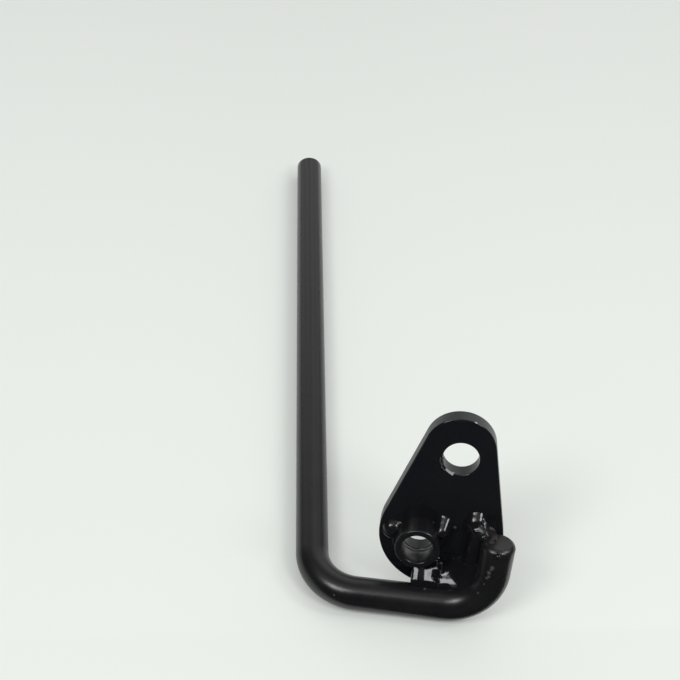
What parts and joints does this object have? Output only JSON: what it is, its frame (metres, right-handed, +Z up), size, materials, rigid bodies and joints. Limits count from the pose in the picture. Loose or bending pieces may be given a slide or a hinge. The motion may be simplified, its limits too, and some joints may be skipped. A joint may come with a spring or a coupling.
{
  "type": "windscreen bracket",
  "caption": "Windscreen bracket: a round rod bent twice and welded to a leaning teardrop plate with a bolt hole and a short bush.",
  "frame": {"origin": "on the table, below the middle of the bracket's bounding box", "axes": "+Z up from the table; +Y along the long leg towards its free end; +X from the long leg towards the plate"},
  "size_m": [0.0634, 0.2258, 0.0606],
  "materials": {
    "rod_paint": "semi-gloss black paint on round bar",
    "plate_paint": "gloss black paint on flat plate",
    "bush_paint": "semi-gloss black paint on a turned bush",
    "weld_paint": "gloss black paint pooled over weld metal"
  },
  "bodies": {
    "root": {"bent_rod": "rod_paint", "mounting_plate": "plate_paint", "boss": "bush_paint", "weld_beads": "weld_paint"}
  },
  "joints": []
}
